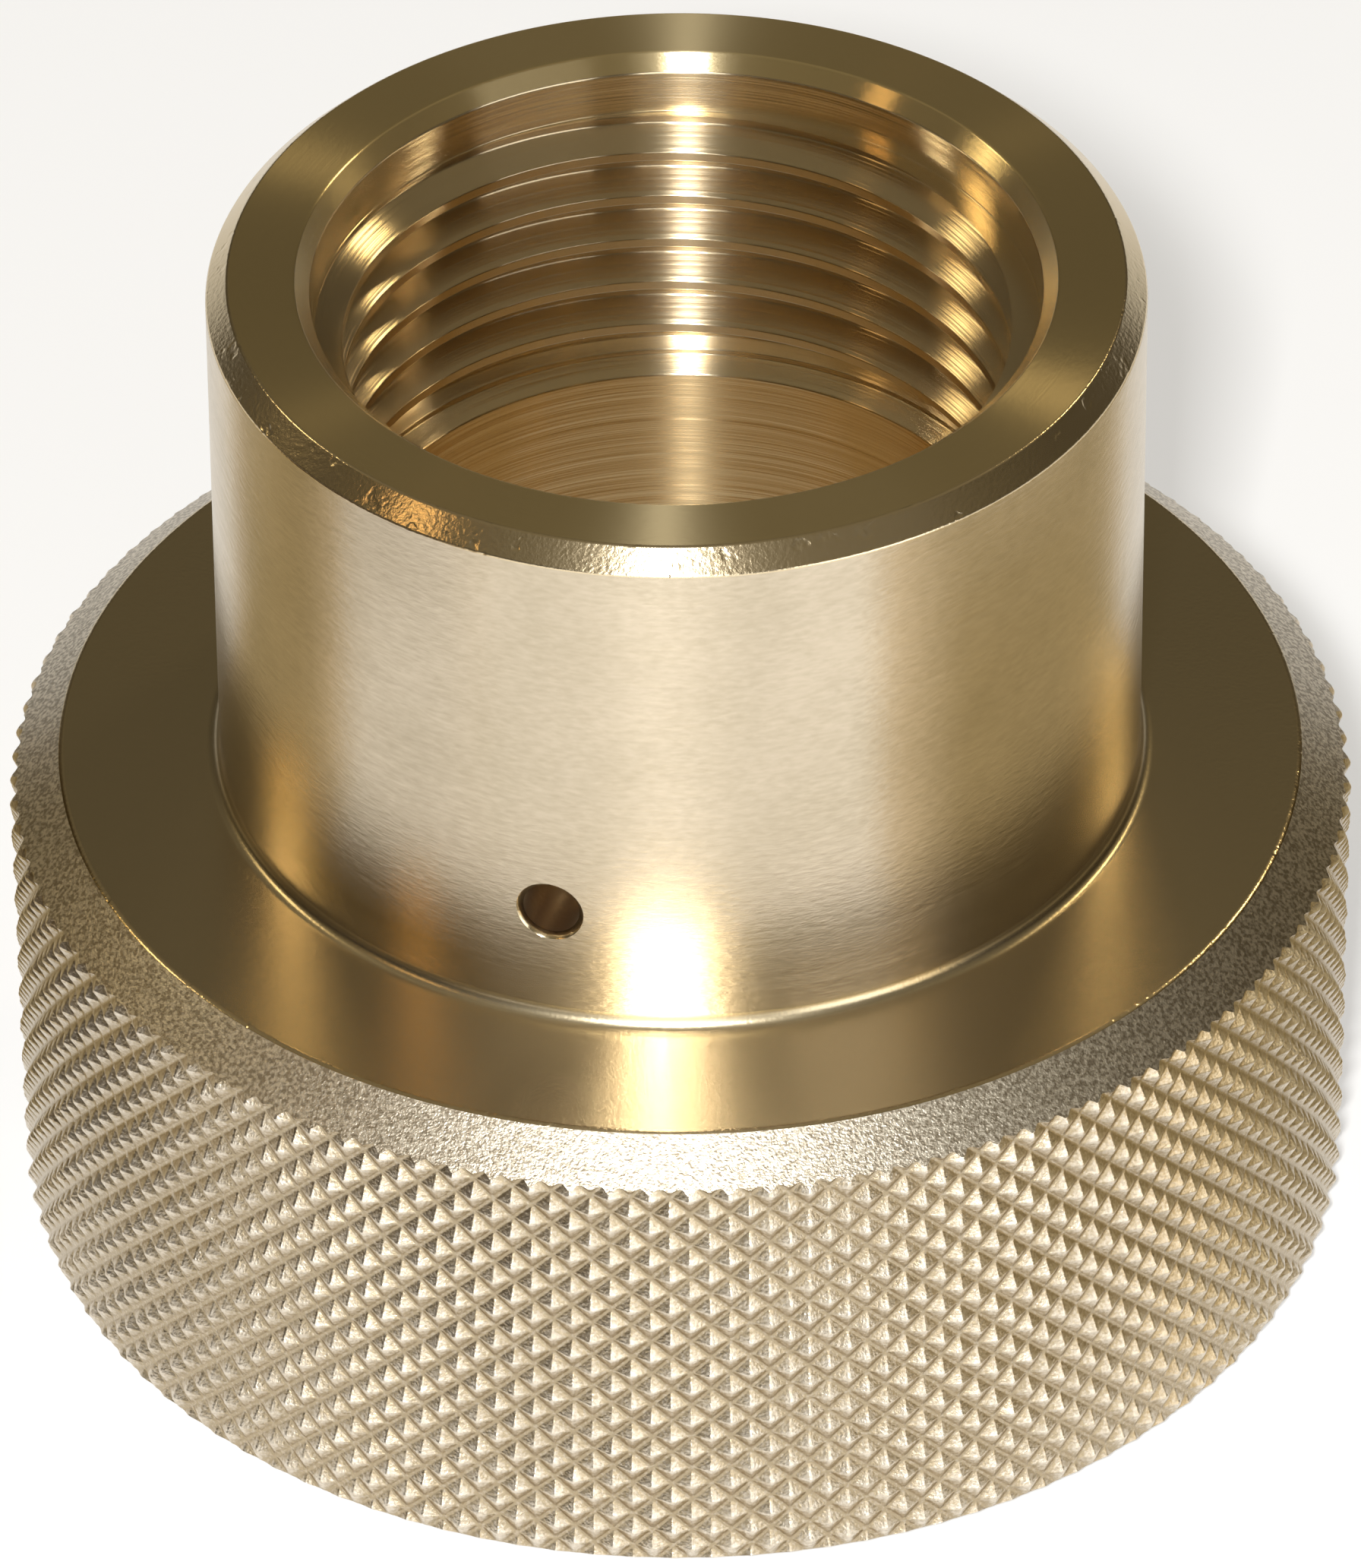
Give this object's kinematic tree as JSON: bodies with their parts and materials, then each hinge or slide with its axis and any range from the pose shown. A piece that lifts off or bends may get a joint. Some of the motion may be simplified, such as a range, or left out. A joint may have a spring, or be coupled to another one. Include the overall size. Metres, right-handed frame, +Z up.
{
  "type": "knurled thumb nut",
  "caption": "Turned brass thumb nut: a plain threaded hub with a small radial vent hole on a wider diamond-knurled rim, gripped and spun by hand.",
  "frame": {"origin": "centre of the base, on the axis, level with the face the nut stands on", "axes": "+Z up the nut's axis towards the threaded mouth, -Y through the vent hole"},
  "size_m": [0.038, 0.038, 0.031],
  "materials": {
    "brass_body": "satin turned, knurled rim"
  },
  "bodies": {
    "root": {"thumb_nut": "brass_body"}
  },
  "joints": []
}
